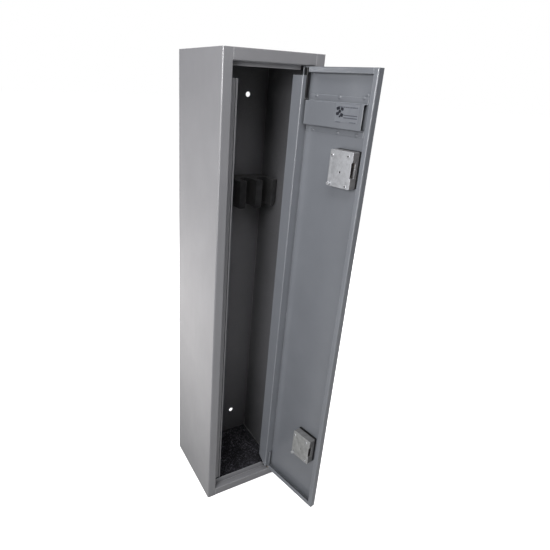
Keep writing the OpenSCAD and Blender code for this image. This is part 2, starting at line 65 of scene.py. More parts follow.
# ---------------------------------------------------------------- small node-material helpers
class Mat:
    def __init__(self, name):
        self.m = bpy.data.materials.new(name)
        self.m.use_nodes = True
        self.t = self.m.node_tree
        self.t.nodes.clear()
        self.out = self.n("ShaderNodeOutputMaterial")
        self.p = self.n("ShaderNodeBsdfPrincipled")
        self.l(self.p.outputs[0], self.out.inputs[0])
        self.co = self.n("ShaderNodeTexCoord").outputs["Object"]

    def n(self, kind, **kw):
        node = self.t.nodes.new(kind)
        for k, v in kw.items():
            setattr(node, k, v)
        return node

    def l(self, a, b):
        self.t.links.new(a, b)

    def put(self, node, **kw):
        for k, v in kw.items():
            node.inputs[k.replace("_", " ")].default_value = v
        return node

    def scaled(self, sx, sy, sz):
        mp = self.n("ShaderNodeMapping")
        mp.inputs["Scale"].default_value = (sx, sy, sz)
        self.l(self.co, mp.inputs["Vector"])
        return mp.outputs[0]

    def noise(self, scale, detail=2.0, rough=0.5, vec=None, dist=0.0):
        t = self.n("ShaderNodeTexNoise")
        t.inputs["Scale"].default_value = scale
        t.inputs["Detail"].default_value = detail
        t.inputs["Roughness"].default_value = rough
        t.inputs["Distortion"].default_value = dist
        self.l(vec or self.co, t.inputs["Vector"])
        return t.outputs["Fac"]

    def voronoi(self, scale, feature="F1", vec=None, out="Distance"):
        t = self.n("ShaderNodeTexVoronoi")
        t.feature = feature
        t.inputs["Scale"].default_value = scale
        self.l(vec or self.co, t.inputs["Vector"])
        return t.outputs[out]

    def ramp(self, fac, stops):
        r = self.n("ShaderNodeValToRGB")
        cr = r.color_ramp
        while len(cr.elements) < len(stops):
            cr.elements.new(0.5)
        for e, (pos, col) in zip(cr.elements, stops):
            e.position = pos
            e.color = (*col, 1) if len(col) == 3 else col
        self.l(fac, r.inputs["Fac"])
        return r.outputs["Color"]

    def rng(self, fac, a, b, c, d, clamp=True):
        r = self.n("ShaderNodeMapRange")
        r.clamp = clamp
        for i, v in zip(("From Min", "From Max", "To Min", "To Max"), (a, b, c, d)):
            r.inputs[i].default_value = v
        self.l(fac, r.inputs["Value"])
        return r.outputs["Result"]

    def math(self, op, a, b=None, c=None):
        m = self.n("ShaderNodeMath", operation=op)
        for i, v in enumerate((a, b, c)):
            if v is None:
                continue
            if isinstance(v, (int, float)):
                m.inputs[i].default_value = v
            else:
                self.l(v, m.inputs[i])
        return m.outputs[0]

    def mix(self, fac, a, b, mode="MIX"):
        m = self.n("ShaderNodeMix", data_type="RGBA", blend_type=mode)
        for idx, v in ((0, fac), (6, a), (7, b)):
            if isinstance(v, (int, float)):
                m.inputs[idx].default_value = v
            elif isinstance(v, (tuple, list)):
                m.inputs[idx].default_value = (*v, 1) if len(v) == 3 else v
            else:
                self.l(v, m.inputs[idx])
        return m.outputs[2]

    def bump(self, height, strength, distance, normal=None):
        b = self.n("ShaderNodeBump")
        b.inputs["Strength"].default_value = strength
        b.inputs["Distance"].default_value = distance
        self.l(height, b.inputs["Height"])
        if normal is not None:
            self.l(normal, b.inputs["Normal"])
        return b.outputs[0]

    def crevice(self, distance, lo=0.25, hi=0.75):
        """0 deep in a corner and 1 in the open"""
        a = self.n("ShaderNodeAmbientOcclusion")
        a.samples = 6
        a.inputs["Distance"].default_value = distance
        return self.rng(a.outputs["AO"], lo, hi, 0.0, 1.0)

    def edge(self, radius):
        """1 near a sharp edge and 0 on a flat face, from a rounded normal"""
        bev = self.n("ShaderNodeBevel")
        bev.samples = 6
        bev.inputs["Radius"].default_value = radius
        geo = self.n("ShaderNodeNewGeometry")
        dot = self.n("ShaderNodeVectorMath", operation="DOT_PRODUCT")
        self.l(bev.outputs[0], dot.inputs[0])
        self.l(geo.outputs["Normal"], dot.inputs[1])
        return self.rng(dot.outputs["Value"], 0.995, 0.88, 0.0, 1.0), bev.outputs[0]


def powder_coat(name, base, rough=0.42, grain=1.0, wear=0.5, spec=0.5, coat=0.85, reach=0.020, corner_shade=0.72, shut=0.22, clear=0.72):
    """Sprayed and baked paint: fine orange peel, slight mottling, painted highlight lines along the folds, painted
    shade in the corners.
    """
    k = Mat(name)
    mottled = k.noise(9, 3, 0.55)
    fine = k.noise(420, 2, 0.6)
    dark = tuple(c * 0.955 for c in base)
    light = tuple(min(1, c * 1.04) for c in base)
    col = k.ramp(mottled, [(0.30, dark), (0.70, light)])
    col = k.mix(k.rng(fine, 0.35, 0.7, 0.0, 0.10), col, tuple(c * 0.80 for c in base))
    # painted shade: darker where sheets meet and in corners, out to the occlusion reach
    col = k.mix(k.rng(k.crevice(reach, shut, clear), 0.0, 1.0, corner_shade, 0.0), col, tuple(c * 0.20 for c in base))
    # painted highlight: a lighter line along each fold, made patchy by noise
    e, normal = k.edge(0.0016)
    uneven = k.rng(k.noise(55, 3, 0.6), 0.3, 0.7, 0.55, 1.0)
    col = k.mix(k.math("MULTIPLY", e, uneven), col, tuple(min(1, c * 2.3 + 0.06) for c in base))
    chips = k.rng(k.noise(170, 4, 0.7), 0.58, 0.66, 0.0, 1.0)
    worn = k.math("MULTIPLY", k.math("MULTIPLY", e, chips), wear)
    col = k.mix(worn, col, (0.50, 0.50, 0.51))
    # cloudy handling marks in the gloss
    smears = k.noise(26, 4, 0.6, vec=k.scaled(1, 1, 0.35))
    r = k.rng(smears, 0.3, 0.7, rough - 0.045, rough + 0.05)
    peel = k.noise(330, 3, 0.55)
    grit = k.voronoi(900, out="Distance")
    h = k.math("ADD", k.math("MULTIPLY", peel, 1.0), k.math("MULTIPLY", grit, 0.35))
    k.l(col, k.p.inputs["Base Color"])
    k.l(r, k.p.inputs["Roughness"])
    k.l(k.bump(h, 0.18 * grain, 0.0004, normal), k.p.inputs["Normal"])
    k.p.inputs["Specular IOR Level"].default_value = spec
    k.p.inputs["Coat Weight"].default_value = coat
    k.p.inputs["Coat Roughness"].default_value = 0.20
    k.p.inputs["Coat IOR"].default_value = 1.7
    k.l(k.bump(peel, 0.05 * grain, 0.0004, normal), k.p.inputs["Coat Normal"])
    return k.m


def plated(name, base, rough=0.34, spangle=0.5, brush=(1, 1, 1), metal=1.0, stain=0.25, crevice_shade=0.5, dimple=0.0, rim=0.0006):
    """Zinc-plated or ground steel: faint crystals, drawn grain, cloudy stains and dimples, with painted shade in the
    crevices and a painted highlight along the edges.
    """
    k = Mat(name)
    crystal = k.voronoi(300, out="Color")
    bw = k.n("ShaderNodeRGBToBW")
    k.l(crystal, bw.inputs[0])
    cloud = k.noise(95, 4, 0.6)
    grain = k.noise(240, 3, 0.6, vec=k.scaled(*brush))
    col = k.ramp(cloud, [(0.25, tuple(c * (1 - stain) for c in base)), (0.62, base), (0.85, tuple(min(1, c * 1.10) for c in base))])
    col = k.mix(k.rng(bw.outputs[0], 0.0, 1.0, 0.0, 0.22 * spangle), col, tuple(c * 0.50 for c in base))
    pit = k.rng(k.noise(330, 3, 0.65), 0.62, 0.72, 0.0, 1.0)
    col = k.mix(k.math("MULTIPLY", pit, 0.35 * (spangle + dimple)), col, tuple(c * 0.45 for c in base))
    # painted shade: darker in crevices and recesses
    col = k.mix(k.rng(k.crevice(0.0035), 0.0, 1.0, crevice_shade, 0.0), col, tuple(c * 0.12 for c in base))
    # painted highlight: lighter along the edges, over a band as wide as rim
    e, normal = k.edge(rim)
    col = k.mix(k.math("MULTIPLY", e, 0.85), col, (0.92, 0.93, 0.96))
    k.l(col, k.p.inputs["Base Color"])
    k.p.inputs["Metallic"].default_value = metal
    r = k.math("ADD", k.rng(cloud, 0.3, 0.7, rough + 0.07, rough - 0.06), k.rng(grain, 0.3, 0.7, -0.04, 0.05))
    k.l(r, k.p.inputs["Roughness"])
    h = k.math("ADD", k.math("MULTIPLY", grain, 0.7), k.math("MULTIPLY", cloud, 0.9))
    h = k.math("SUBTRACT", h, k.math("MULTIPLY", pit, dimple))
    k.l(k.bump(h, 0.22 + 0.2 * dimple, 0.0004, normal), k.p.inputs["Normal"])
    return k.m


def brass_mat(name):
    k = Mat(name)
    # painted shade: the brass is kept dark, standing for the shade inside the lock where the levers show
    base = (0.20, 0.13, 0.065)
    cloud = k.noise(120, 4, 0.6)
    grain = k.noise(300, 2, 0.5, vec=k.scaled(1, 1, 8))
    col = k.ramp(cloud, [(0.3, (0.11, 0.070, 0.038)), (0.6, base), (0.85, (0.30, 0.20, 0.10))])
    # painted highlight: lighter along the edges
    e, normal = k.edge(0.0004)
    col = k.mix(k.math("MULTIPLY", e, 0.4), col, (0.42, 0.30, 0.16))
    k.l(col, k.p.inputs["Base Color"])
    k.p.inputs["Metallic"].default_value = 1.0
    k.l(k.rng(cloud, 0.3, 0.7, 0.42, 0.26), k.p.inputs["Roughness"])
    k.l(k.bump(grain, 0.15, 0.0003, normal), k.p.inputs["Normal"])
    return k.m


def foam_mat(name, light=1.0):
    """Black closed-cell foam: pitted skin, cut cells, painted shade in the slots and corners, painted highlight along
    the edges.
    """
    k = Mat(name)
    cells = k.voronoi(520)
    big = k.voronoi(190)
    cloud = k.noise(35, 4, 0.6)
    col = k.ramp(cloud, [(0.3, tuple(light * c for c in (0.020, 0.020, 0.022))), (0.7, tuple(light * c for c in (0.044, 0.044, 0.047)))])
    col = k.mix(k.rng(cells, 0.0, 0.35, 0.55, 0.0), col, (0.006, 0.006, 0.006))
    # painted shade: near black deep in the slots and corners
    col = k.mix(k.rng(k.crevice(0.045, 0.25, 0.85), 0.0, 1.0, 0.95, 0.0), col, (0.002, 0.002, 0.002))
    # painted highlight: lighter along the edges
    e, normal = k.edge(0.0022)
    col = k.mix(k.math("MULTIPLY", e, 0.75), col, tuple(light * c for c in (0.110, 0.110, 0.115)))
    k.l(col, k.p.inputs["Base Color"])
    k.p.inputs["Roughness"].default_value = 0.82
    k.p.inputs["Specular IOR Level"].default_value = 0.32
    k.p.inputs["Sheen Weight"].default_value = 0.12
    h = k.math("ADD", k.math("MULTIPLY", cells, 0.8), k.math("MULTIPLY", big, 0.5))
    k.l(k.bump(h, 0.55, 0.0012, normal), k.p.inputs["Normal"])
    return k.m


def mat_mat(name):
    """Needle-felt lining: short black fibres with grey flecks."""
    k = Mat(name)
    fib = k.noise(900, 3, 0.7, vec=k.scaled(1.0, 0.35, 1.0), dist=1.2)
    fib2 = k.noise(700, 3, 0.7, vec=k.scaled(0.3, 1.0, 1.0), dist=1.5)
    fleck = k.noise(200, 2, 0.5)
    speck = k.noise(430, 2, 0.6)
    clump = k.noise(60, 3, 0.6)
    col = k.ramp(k.math("MULTIPLY", fib, fib2), [(0.12, (0.004, 0.004, 0.006)), (0.36, (0.019, 0.018, 0.024))])
    col = k.mix(k.rng(fleck, 0.58, 0.66, 0.0, 0.85), col, (0.160, 0.158, 0.190))
    col = k.mix(k.rng(speck, 0.61, 0.67, 0.0, 0.85), col, (0.38, 0.38, 0.42))
    col = k.mix(k.rng(clump, 0.40, 0.65, 0.0, 0.70), col, (0.006, 0.006, 0.008))
    # painted shade: darker near the walls and behind the front lip
    col = k.mix(k.rng(k.crevice(0.030, 0.30, 0.80), 0.0, 1.0, 0.92, 0.0), col, (0.003, 0.003, 0.004))
    k.l(col, k.p.inputs["Base Color"])
    k.p.inputs["Roughness"].default_value = 0.95
    k.p.inputs["Specular IOR Level"].default_value = 0.2
    k.p.inputs["Sheen Weight"].default_value = 0.08
    k.p.inputs["Sheen Roughness"].default_value = 0.4
    k.l(k.bump(k.math("ADD", fib, k.math("ADD", fib2, clump)), 0.8, 0.0016), k.p.inputs["Normal"])
    return k.m


def dark_plate(name):
    k = Mat(name)
    cloud = k.noise(70, 4, 0.6)
    col = k.ramp(cloud, [(0.3, (0.012, 0.012, 0.013)), (0.75, (0.028, 0.027, 0.027))])
    # painted highlight: lighter along the edges
    e, normal = k.edge(0.0005)
    col = k.mix(k.math("MULTIPLY", e, 0.4), col, (0.12, 0.12, 0.12))
    k.l(col, k.p.inputs["Base Color"])
    k.p.inputs["Metallic"].default_value = 0.6
    k.l(k.rng(cloud, 0.3, 0.7, 0.40, 0.55), k.p.inputs["Roughness"])
    k.l(k.bump(k.noise(400, 3, 0.6), 0.3, 0.0004, normal), k.p.inputs["Normal"])
    return k.m


PAINT = (0.256, 0.255, 0.270)
M = {}
M["paint"] = powder_coat("cabinet_powder_coat", PAINT)
# paint_in and paint_deep carry painted shade: occlusion over a 350 mm reach darkens the inside towards its top, back
# and corners; paint_in's base is lighter to make up for it at mid height
M["paint_in"] = powder_coat("inner_powder_coat_painted_shade", (0.284, 0.282, 0.303), rough=0.48, coat=0.55, reach=0.350, corner_shade=0.92, shut=0.05, clear=0.55)
M["paint_deep"] = powder_coat("cabinet_powder_coat_painted_shade", PAINT, reach=0.350, corner_shade=0.88, shut=0.05, clear=0.50)
# painted light: the door takes a darker, bluer copy of the cabinet paint, for the dimmer, cooler light on its inside
M["paint_door"] = powder_coat("door_powder_coat_cool_shaded", (0.222, 0.234, 0.260), rough=0.44)
# painted light: lit and shaded copies of one zinc; the lower lock's cover and case (zinc_low, zinc_case_low) are darker
# than the upper lock's (zinc, zinc_side), and each case is darker than its cover, for the light each gets
M["zinc"] = plated("zinc_plate", (0.63, 0.64, 0.67), rough=0.40, spangle=0.9, metal=0.35, dimple=0.8, crevice_shade=0.75, rim=0.0011)
M["zinc_side"] = plated("zinc_plate_case", (0.44, 0.43, 0.44), rough=0.42, spangle=0.9, metal=0.45, stain=0.35, crevice_shade=0.8)
M["zinc_case_low"] = plated("zinc_plate_case_low", (0.36, 0.36, 0.365), rough=0.42, spangle=0.9, metal=0.45, stain=0.30, crevice_shade=0.8)
M["zinc_low"] = plated("zinc_plate_low", (0.50, 0.505, 0.50), rough=0.44, spangle=1.0, metal=0.35, dimple=0.9, stain=0.32, crevice_shade=0.75, rim=0.0011)
# painted highlight: near-white zinc for the rounded edges of the lock covers
M["rim"] = plated("cover_edge_painted_highlight", (0.93, 0.94, 0.97), rough=0.34, spangle=0.15, metal=0.25, stain=0.12, crevice_shade=0.5)
M["bright"] = plated("bright_zinc", (0.80, 0.81, 0.84), rough=0.28, spangle=0.3, metal=0.45, crevice_shade=0.85)
M["steel"] = plated("turned_steel", (0.52, 0.52, 0.53), rough=0.30, spangle=0.1, brush=(1, 1, 12))
# painted shade: the lock bolts are dark brown, standing for the shade in the bolt mouths
M["bolt"] = plated("ground_bolt_steel_dark_for_shade", (0.115, 0.100, 0.095), rough=0.32, spangle=0.0, brush=(1, 1, 14), stain=0.35, crevice_shade=0.9)
# painted shade: the upper hinge tube and pin are near black, standing for the shade in the bar's notch
M["tube"] = plated("hinge_tube_black_for_shade", (0.018, 0.018, 0.019), rough=0.45, spangle=0.0, metal=0.6, crevice_shade=0.9)
# painted shade: the key curtains are near black, standing for the shade in the key holes
M["bronze"] = plated("curtain_bronze_dark_for_shade", (0.022, 0.018, 0.013), rough=0.45, spangle=0.0, metal=0.8, crevice_shade=0.9)
M["brass"] = brass_mat("lever_brass_dark_for_shade")
M["foam"] = foam_mat("black_foam")
M["mat"] = mat_mat("black_needle_felt")
M["hard"] = dark_plate("black_hardened_plate")
# painted shade: a very dark copy of the foam, used for the screw-recess filler
M["crevice_shade"] = foam_mat("recess_shade_fill", light=0.35)


def label_mat(name):
    k = Mat(name)
    cloud = k.noise(60, 3, 0.5)
    grain = k.noise(500, 2, 0.5, vec=k.scaled(1, 14, 1))
    col = k.ramp(cloud, [(0.3, (0.27, 0.285, 0.315)), (0.7, (0.31, 0.325, 0.36))])
    k.l(col, k.p.inputs["Base Color"])
    k.p.inputs["Metallic"].default_value = 0.25
    k.l(k.rng(grain, 0.3, 0.7, 0.30, 0.42), k.p.inputs["Roughness"])
    k.l(k.bump(grain, 0.08, 0.0002), k.p.inputs["Normal"])
    return k.m


def ink_mat(name, col):
    k = Mat(name)
    c = k.ramp(k.noise(240, 3, 0.6), [(0.3, col), (0.8, tuple(x * 1.5 + 0.01 for x in col))])
    k.l(c, k.p.inputs["Base Color"])
    k.l(k.rng(k.noise(300, 2, 0.5), 0.3, 0.7, 0.38, 0.50), k.p.inputs["Roughness"])
    return k.m


M["label"] = label_mat("silver_film")
M["ink"] = ink_mat("label_ink", (0.012, 0.013, 0.02))
M["ink_grey"] = ink_mat("label_grey_ink", (0.085, 0.090, 0.110))

by_slot = {"cabinet_paint": "paint", "inner_paint": "paint_in", "door_paint": "paint_door", "foam": "foam", "mat": "mat",
           "steel": "steel", "bright_steel": "bright", "bolt_steel": "bolt", "zinc_plate": "zinc", "hard_plate": "hard",
           "brass": "brass", "label": "label"}
slot_of = {s["node"]: s["material_slot"] for s in frame["record"]["subparts"]}
for name, o in nodes.items():
    o.data.materials.clear()
    # the right side panel, the upper hinge tube and pin, and the key curtains take the painted-shade materials above;
    # the lock cases take the lit and shaded zinc copies
    own = {"right_side_panel": "paint_deep", "upper_lock_case": "zinc_side", "lower_lock_case": "zinc_case_low", "upper_hinge_tube": "tube", "upper_hinge_pin": "tube",
           "upper_key_curtain": "bronze", "lower_key_curtain": "bronze", "upper_cover_screws": "bright", "lower_cover_screws": "bright"}
    o.data.materials.append(M[own.get(name, by_slot[slot_of[name]])])


# ---------------------------------------------------------------- mesh helpers
def new_object(name, bm, mat, body, smooth_angle=35):
    me = bpy.data.meshes.new(name)
    bm.normal_update()
    bm.to_mesh(me)
    bm.free()
    o = bpy.data.objects.new(name, me)
    scene.collection.objects.link(o)
    me.materials.append(mat)
    if smooth_angle is not None:
        for p in me.polygons:
            p.use_smooth = True
        me.set_sharp_from_angle(angle=math.radians(smooth_angle))
    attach(o, body)
    return o


def apply_mods(o):
    dg = bpy.context.evaluated_depsgraph_get()
    me = bpy.data.meshes.new_from_object(o.evaluated_get(dg), depsgraph=dg)
    o.modifiers.clear()
    old = o.data
    o.data = me
    bpy.data.meshes.remove(old)


def outline_prism(bm, pts, z0, z1, to):
    """prism of a 2-D outline between two heights; `to` maps (a, b, z) to a vector"""
    lo = [bm.verts.new(to(a, b, z0)) for a, b in pts]
    hi = [bm.verts.new(to(a, b, z1)) for a, b in pts]
    n = len(pts)
    bm.faces.new(lo[::-1])
    bm.faces.new(hi)
    for i in range(n):
        bm.faces.new((lo[i], lo[(i + 1) % n], hi[(i + 1) % n], hi[i]))


def rounded_copy(node, name, mat, body, width, segments=3, angle=30, rim=None, cuts=()):
    """the CAD solid again with its edges really rounded, to stand for it"""
    src = nodes[node]
    bm = bmesh.new()
    bm.from_mesh(src.data)
    bm.transform(src.matrix_world)
    bmesh.ops.remove_doubles(bm, verts=bm.verts, dist=1e-6)
    bmesh.ops.dissolve_limit(bm, angle_limit=math.radians(1.0), verts=bm.verts, edges=bm.edges)
    me = bpy.data.meshes.new(name)
    bm.normal_update()
    bm.to_mesh(me)
    bm.free()
    o = bpy.data.objects.new(name, me)
    scene.collection.objects.link(o)
    me.materials.append(mat)
    tools = []
    for n_, (x0_, x1_, y0_, y1_, z0_, z1_) in enumerate(cuts):
        cb = bmesh.new()
        vs = [cb.verts.new(door(x, y, z)) for z in (z0_, z1_) for y in (y0_, y1_) for x in (x0_, x1_)]
        for q in ((0, 1, 3, 2), (4, 5, 7, 6), (0, 1, 5, 4), (2, 3, 7, 6), (0, 2, 6, 4), (1, 3, 7, 5)):
            cb.faces.new([vs[i] for i in q])
        bmesh.ops.recalc_face_normals(cb, faces=cb.faces)
        cme = bpy.data.meshes.new("cutter")
        cb.to_mesh(cme)
        cb.free()
        tool = bpy.data.objects.new("cutter", cme)
        scene.collection.objects.link(tool)
        tools.append(tool)
        bo = o.modifiers.new("cut", "BOOLEAN")
        bo.operation, bo.object, bo.solver = "DIFFERENCE", tool, "EXACT"
    if tools:
        apply_mods(o)
        for tool in tools:
            bpy.data.objects.remove(tool)
    bev = o.modifiers.new("bevel", "BEVEL")
    bev.width = width
    bev.segments = segments
    bev.limit_method = "ANGLE"
    bev.angle_limit = math.radians(angle)
    bev.use_clamp_overlap = True
    bev.miter_outer = "MITER_ARC"
    # with rim given, the bevel faces take that material, a painted highlight along the rounded edges
    if rim is not None:
        o.data.materials.append(rim)
        bev.material = 1
    apply_mods(o)
    for p in o.data.polygons:
        p.use_smooth = True
    o.data.set_sharp_from_angle(angle=math.radians(32))
    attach(o, body)
    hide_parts(node)
    return o


def lock_skins():
    for side, low in (("upper", False), ("lower", True)):
        lx, lz = (56, 190) if low else (52, 1018)
        rounded_copy(side + "_lock_cover", side + "_lock_cover_plate", M["zinc_low" if low else "zinc"], "door", 0.0019 if low else 0.0012, rim=M["rim"], cuts=[(lx - 2, lx + 2.4, 28, 32, lz + 25.2, lz + 60.4)])
        rounded_copy(side + "_fixing_screw", side + "_fixing_bolt", M["bright"], "door", 0.0006)


lock_skins()


# painted shade: a near-black filler in the cross recesses of the cover screws, standing for their shade
def recess_fill(name, lx, lz):
    bm = bmesh.new()
    for u_, w_ in ((12, 73), (57.5, 71), (11, 6)):
        a = math.radians(20 + w_)
        ca, sa = math.cos(a), math.sin(a)
        hw, hl = 0.82, 2.75
        ring = [(hw, hw), (hw, hl), (-hw, hl), (-hw, hw), (-hl, hw), (-hl, -hw), (-hw, -hw), (-hw, -hl), (hw, -hl), (hw, -hw), (hl, -hw), (hl, hw)]
        lo, hi = [], []
        for px, pz in ring:
            X, Z = lx + u_ + px * ca + pz * sa, lz + w_ - px * sa + pz * ca
            lo.append(bm.verts.new(door(X, 31.8, Z)))
            X, Z = lx + u_ + 0.93 * (px * ca + pz * sa), lz + w_ + 0.93 * (-px * sa + pz * ca)
            hi.append(bm.verts.new(door(X, 33.32 + 0.05 * noise.noise(Vector((px, pz, w_))), Z)))
        bm.faces.new(lo)
        bm.faces.new(hi[::-1])
        for i in range(12):
            bm.faces.new((lo[i], hi[i], hi[(i + 1) % 12], lo[(i + 1) % 12]))
    bmesh.ops.recalc_face_normals(bm, faces=bm.faces)
    return new_object(name, bm, M["crevice_shade"], "door", smooth_angle=30)


recess_fill("upper_screw_recess_shade", 52, 1018)
recess_fill("lower_screw_recess_shade", 56, 190)


# black packing strip between each lock case and the door skin, made deep enough to also stand for the shade at the base
# of the case (painted shade)
def packing_strip_and_shade(name, lx, lz, w, h):
    bm = bmesh.new()
    rings = []
    for inset, y0_, y1_ in ((-0.35, 2.05, 9.4),):
        for sgn, yy in ((0, y0_), (0, y0_ + 0.3), (1, y1_ - 0.5), (1, y1_)):
            grow = 0.70 if yy in (y0_ + 0.3, y1_ - 0.5) else 0.05
            ring = []
            for cx_, cz_, a0 in ((w - 2.5, 2.5, 270), (w - 2.5, h - 2.5, 0), (2.5, h - 2.5, 90), (2.5, 2.5, 180)):
                for i in range(6):
                    a = math.radians(a0 + 18 * i)
                    rr = 2.5 + grow
                    wob = 0.10 * noise.noise(Vector((cx_ * 0.11 + i, cz_ * 0.07, lz * 0.01)))
                    ring.append(bm.verts.new(door(lx + cx_ + (rr + wob) * math.cos(a), yy, lz + cz_ + (rr + wob) * math.sin(a))))
            rings.append(ring)
        inner = []
        for yy in (y1_, y0_):
            ring = []
            for cx_, cz_, a0 in ((w - 2.5, 2.5, 270), (w - 2.5, h - 2.5, 0), (2.5, h - 2.5, 90), (2.5, 2.5, 180)):
                for i in range(6):
                    a = math.radians(a0 + 18 * i)
                    ring.append(bm.verts.new(door(lx + cx_ + 2.42 * math.cos(a), yy, lz + cz_ + 2.42 * math.sin(a))))
            inner.append(ring)
        rings += inner
    n = len(rings[0])
    for j in range(len(rings)):
        a_, b_ = rings[j], rings[(j + 1) % len(rings)]
        for i in range(n):
            bm.faces.new((a_[i], a_[(i + 1) % n], b_[(i + 1) % n], b_[i]))
    bmesh.ops.recalc_face_normals(bm, faces=bm.faces)
    return new_object(name, bm, M["hard"], "door", smooth_angle=40)


packing_strip_and_shade("upper_lock_packing_and_shade", 52, 1018, 63.5, 83)
packing_strip_and_shade("lower_lock_packing_and_shade", 56, 190, 63.5, 83)


# ---------------------------------------------------------------- foam barrel rest
def barrel_rest():
    x_r = 267.5
    y_back, y_front = 247.8, 157.0
    z0, z1 = 897.0, 976.0
    slots = [234 - 52 * i for i in range(5)]
    pts = [(2.5, y_back)]
    # along the front edge from left to right, dipping into each slot
    pts.append((2.5, y_front))
    for xc in sorted(slots):
        a, b = xc - 15, xc + 15
        pts.append((a, y_front))
        yc = 209 - 15
        for i in range(11):
            t = math.pi - math.pi * i / 10
            pts.append((xc + 15 * math.cos(t), yc + 15 * math.sin(t)))
        pts.append((b, y_front))
    pts.append((x_r, y_front))
    pts.append((x_r, y_back))
    bm = bmesh.new()
    outline_prism(bm, pts, z0, z1, cab)
    bmesh.ops.recalc_face_normals(bm, faces=bm.faces)
    o = new_object("foam_barrel_rest", bm, M["foam"], "cabinet", smooth_angle=40)
    bev = o.modifiers.new("bevel", "BEVEL")
    bev.width = 0.0022
    bev.segments = 3
    bev.limit_method = "ANGLE"
    bev.angle_limit = math.radians(50)
    apply_mods(o)
    # cut faces of soft foam are never flat: press the fingers' fronts a little
    bm = bmesh.new()
    bm.from_mesh(o.data)
    bmesh.ops.triangulate(bm, faces=[f for f in bm.faces if len(f.verts) > 4])
    bmesh.ops.subdivide_edges(bm, edges=[e for e in bm.edges if e.calc_length() > 0.012], cuts=4, use_grid_fill=True)
    bmesh.ops.triangulate(bm, faces=[f for f in bm.faces if len(f.verts) > 4])
    lo, hi = cab(2.5, y_front, z0), cab(x_r, y_back, z1)
    for v in bm.verts:
        if v.co.y > hi.y - 0.003:
            continue
        n = noise.noise(v.co * 38.0) * 0.0010 + noise.noise(v.co * 140.0) * 0.0003
        v.co += v.normal * (n - 0.0006)
    # the block's lower corner at the hinge side is rounded off
    for v in bm.verts:
        dx_, dz_ = v.co.x * 1000 + W * 500 - 251.5, 913.5 - v.co.z * 1000
        if dx_ > 0 and dz_ > 0:
            q = max(dx_, dz_) / math.hypot(dx_, dz_)
            v.co.x, v.co.z = (251.5 + dx_ * q) / 1000 - W / 2, (913.5 - dz_ * q) / 1000
    for v in bm.verts:
        v.co.x = min(max(v.co.x, lo.x), hi.x)
        v.co.y = min(max(v.co.y, lo.y), hi.y)
        v.co.z = min(max(v.co.z, lo.z), hi.z)
    bm.to_mesh(o.data)
    bm.free()
    for p in o.data.polygons:
        p.use_smooth = True
    o.data.set_sharp_from_angle(angle=math.radians(48))
    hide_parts("barrel_rest")
    return o


barrel_rest()


# ---------------------------------------------------------------- floor lining
def floor_lining():
    x0, x1, y0, y1, z0, z1 = 4.0, 263.2, 24.0, 245.5, 2.0, 8.0
    nx, ny = 132, 112
    bm = bmesh.new()
    top = {}
    for i in range(nx + 1):
        for j in range(ny + 1):
            x = x0 + (x1 - x0) * i / nx
            y = y0 + (y1 - y0) * j / ny
            d = min(x - x0, x1 - x, y - y0, y1 - y)
            crown = -2.2 * math.exp(-d / 2.4)
            wave = 0.55 * noise.noise(Vector((x, y, 0)) * 0.016) + 0.22 * noise.noise(Vector((x, y, 3)) * 0.35)
            top[i, j] = bm.verts.new(cab(x, y, min(z1, z1 - 0.35 + crown + wave)))
    for i in range(nx):
        for j in range(ny):
            bm.faces.new((top[i, j], top[i + 1, j], top[i + 1, j + 1], top[i, j + 1]))
    rim = [(i, 0) for i in range(nx)] + [(nx, j) for j in range(ny)] + [(i, ny) for i in range(nx, 0, -1)] + [(0, j) for j in range(ny, 0, -1)]
    low = [bm.verts.new((top[k].co.x, top[k].co.y, z0 / 1000)) for k in rim]
    n = len(rim)
    for q in range(n):
        bm.faces.new((top[rim[q]], low[q], low[(q + 1) % n], top[rim[(q + 1) % n]]))
    bm.faces.new(low)
    bmesh.ops.recalc_face_normals(bm, faces=bm.faces)
    o = new_object("felt_floor_lining", bm, M["mat"], "cabinet", smooth_angle=60)
    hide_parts("floor_mat")
    return o


floor_lining()


# ---------------------------------------------------------------- weld beads and tack welds
def blob(bm, centre, ax, bx, nx, r1, r2, h, seed=0):
    """a low drop of weld metal: rings of an ellipse rising to a rounded top"""
    rings = []
    for j in range(6):
        t = j / 5
        rad = math.cos(t * math.pi / 2) ** 0.8 if j < 5 else 0.0
        hh = math.sin(t * math.pi / 2) * h
        ring = []
        if j == 5:
            ring = [bm.verts.new(centre + nx * h)]
        else:
            for i in range(18):
                a = 2 * math.pi * i / 18
                wob = 1 + 0.10 * noise.noise(Vector((math.cos(a) * 1.7, math.sin(a) * 1.7, seed)))
                ring.append(bm.verts.new(centre + ax * math.cos(a) * r1 * rad * wob + bx * math.sin(a) * r2 * rad * wob + nx * hh))
        rings.append(ring)
    for j in range(4):
        for i in range(18):
            bm.faces.new((rings[j][i], rings[j][(i + 1) % 18], rings[j + 1][(i + 1) % 18], rings[j + 1][i]))
    for i in range(18):
        bm.faces.new((rings[4][i], rings[4][(i + 1) % 18], rings[5][0]))
    bm.faces.new(rings[0][::-1])


ROT = DOOR.to_3x3()
dX, dY, dZ = ROT @ Vector((1, 0, 0)), ROT @ Vector((0, 1, 0)), Vector((0, 0, 1))
bm = bmesh.new()
for k, (x, z, r, h, y) in enumerate([(201, 1210.5, 5.0, 1.5, 3.2), (133, 1211.0, 5.4, 1.6, 3.2), (66, 1212.5, 4.6, 2.4, 3.2),
                                     (203, 1133.4, 4.2, 1.6, 3.2), (126, 1134.0, 4.8, 1.8, 3.2), (72.5, 1134.4, 5.0, 2.2, 3.2),
                                     (219.5, 1257, 2.8, 2.0, 2.0), (58.5, 1219, 3.6, 1.4, 2.0)]):
    blob(bm, door(x, y - 0.2, z), dX / 1000, dZ / 1000, dY / 1000, r, r * 0.85, h, seed=k * 3.1)
new_object("door_tack_welds", bm, M["paint_door"], "door", smooth_angle=60)


